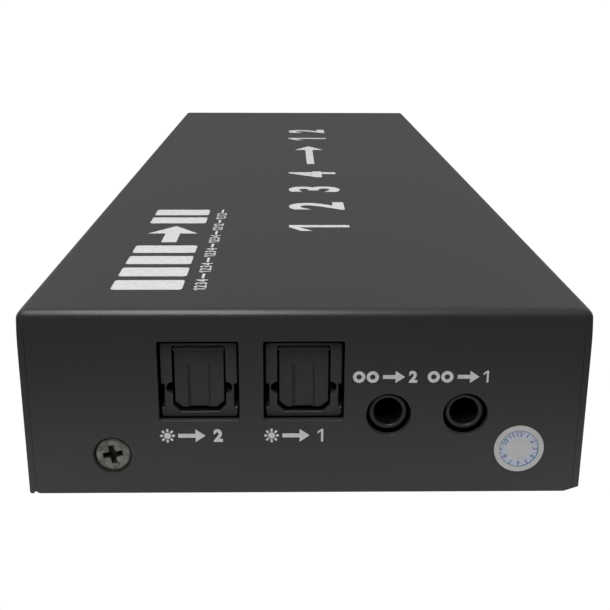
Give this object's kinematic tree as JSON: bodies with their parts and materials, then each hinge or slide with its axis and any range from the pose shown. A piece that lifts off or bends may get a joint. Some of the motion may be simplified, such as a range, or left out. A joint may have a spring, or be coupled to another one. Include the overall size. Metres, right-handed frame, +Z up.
{
  "type": "video matrix switch",
  "caption": "Long low metal box that switches video inputs to outputs, with optical and stereo jack audio outputs on one end panel and controls along one side.",
  "frame": {"origin": "middle of the footprint, on the surface that the feet stand on", "axes": "+Z up; +Y along the length, with the audio end at -Y; +X across, with the buttons at +X and the video ports at -X"},
  "size_m": [0.071, 0.2101, 0.026],
  "materials": {
    "powder_coat": "matt black powder coat with a fine grain",
    "base_coat": "matt black powder coat",
    "case_screw": "black nickel, dulled",
    "brass": "turned",
    "zinc": "zinc plated",
    "seal_paper": "matt paper, printed",
    "foot_rubber": "matt",
    "board": "black solder resist",
    "chip": "matt",
    "pad": "soft",
    "heat_sink": "extruded",
    "can_metal": "drawn",
    "ferrite": "matt",
    "socket_plastic": "moulded",
    "shutter_plastic": "moulded",
    "spring_steel": "bright wire",
    "emitter": "dark red, clear nose",
    "jack_plastic": "moulded",
    "contact_gold": "gold flash",
    "port_shell": "nickel plated",
    "port_insulator": "moulded",
    "switch_white": "moulded",
    "switch_black": "moulded",
    "switch_metal": "pressed",
    "button_plastic": "moulded",
    "lamp_clear": "clear epoxy",
    "lamp_red": "tinted epoxy",
    "ir_dark": "dark tinted epoxy"
  },
  "bodies": {
    "case": {"top_cover": "powder_coat", "audio_end_flap": "powder_coat", "base_plate": "base_coat", "case_screws": "case_screw", "pcb_standoffs": "brass", "pcb_screws": "zinc", "seal_sticker": "seal_paper", "foot_1": "foot_rubber", "foot_2": "foot_rubber", "foot_3": "foot_rubber", "foot_4": "foot_rubber", "main_pcb": "board", "switching_chip": "chip", "thermal_pad": "pad", "heat_sink": "heat_sink", "control_chip": "chip", "audio_chip": "chip", "crystal_can": "can_metal", "power_inductor": "ferrite", "filter_capacitors": "can_metal", "voltage_regulator": "chip", "optical_housing_1": "socket_plastic", "optical_housing_2": "socket_plastic", "optical_emitter_1": "emitter", "optical_emitter_2": "emitter", "audio_jack_1": "jack_plastic", "audio_jack_2": "jack_plastic", "audio_jack_contacts_1": "contact_gold", "audio_jack_contacts_2": "contact_gold", "video_contacts": "contact_gold", "dc_inlet_body": "jack_plastic", "dc_inlet_pin": "can_metal", "power_switch_body": "switch_white", "output_1_switch_body": "switch_black", "output_2_switch_body": "switch_black", "mode_switch_body": "switch_metal", "indicator_lamps": "lamp_clear", "power_lamp": "lamp_red", "infrared_receiver": "ir_dark", "video_input_shell_1": "port_shell", "video_input_insulator_1": "port_insulator", "video_input_shell_2": "port_shell", "video_input_insulator_2": "port_insulator", "video_input_shell_3": "port_shell", "video_input_insulator_3": "port_insulator", "video_input_shell_4": "port_shell", "video_input_insulator_4": "port_insulator", "video_output_shell_1": "port_shell", "video_output_insulator_1": "port_insulator", "video_output_shell_2": "port_shell", "video_output_insulator_2": "port_insulator"},
    "optical_door_1": {"optical_shutter_1": "shutter_plastic", "shutter_spring_1": "spring_steel"},
    "optical_door_2": {"optical_shutter_2": "shutter_plastic", "shutter_spring_2": "spring_steel"},
    "power_key": {"power_button": "button_plastic"},
    "output_1_key": {"output_1_button": "button_plastic"},
    "output_2_key": {"output_2_button": "button_plastic"},
    "mode_knob": {"mode_switch_knob": "button_plastic"}
  },
  "joints": [
    {"name": "optical_door_1_hinge", "type": "hinge", "parent": "case", "child": "optical_door_1", "pos_m": [-0.00022, -0.1032, 0.02055], "axis": [1, 0, 0], "range_deg": [0, 85], "stiffness_Nm_per_rad": 0.00004, "springref_deg": -20.05},
    {"name": "optical_door_2_hinge", "type": "hinge", "parent": "case", "child": "optical_door_2", "pos_m": [-0.0132, -0.1032, 0.02055], "axis": [1, 0, 0], "range_deg": [0, 85], "stiffness_Nm_per_rad": 0.00004, "springref_deg": -20.05},
    {"name": "power_button_slide", "type": "slide", "parent": "case", "child": "power_key", "axis": [-1, 0, 0], "range_m": [0, 0.0015]},
    {"name": "output_1_button_slide", "type": "slide", "parent": "case", "child": "output_1_key", "axis": [-1, 0, 0], "range_m": [0, 0.0003], "stiffness_N_per_m": 400, "springref_m": -0.0002},
    {"name": "output_2_button_slide", "type": "slide", "parent": "case", "child": "output_2_key", "axis": [-1, 0, 0], "range_m": [0, 0.0003], "stiffness_N_per_m": 400, "springref_m": -0.0002},
    {"name": "mode_knob_slide", "type": "slide", "parent": "case", "child": "mode_knob", "axis": [0, 1, 0], "range_m": [0, 0.002]}
  ]
}
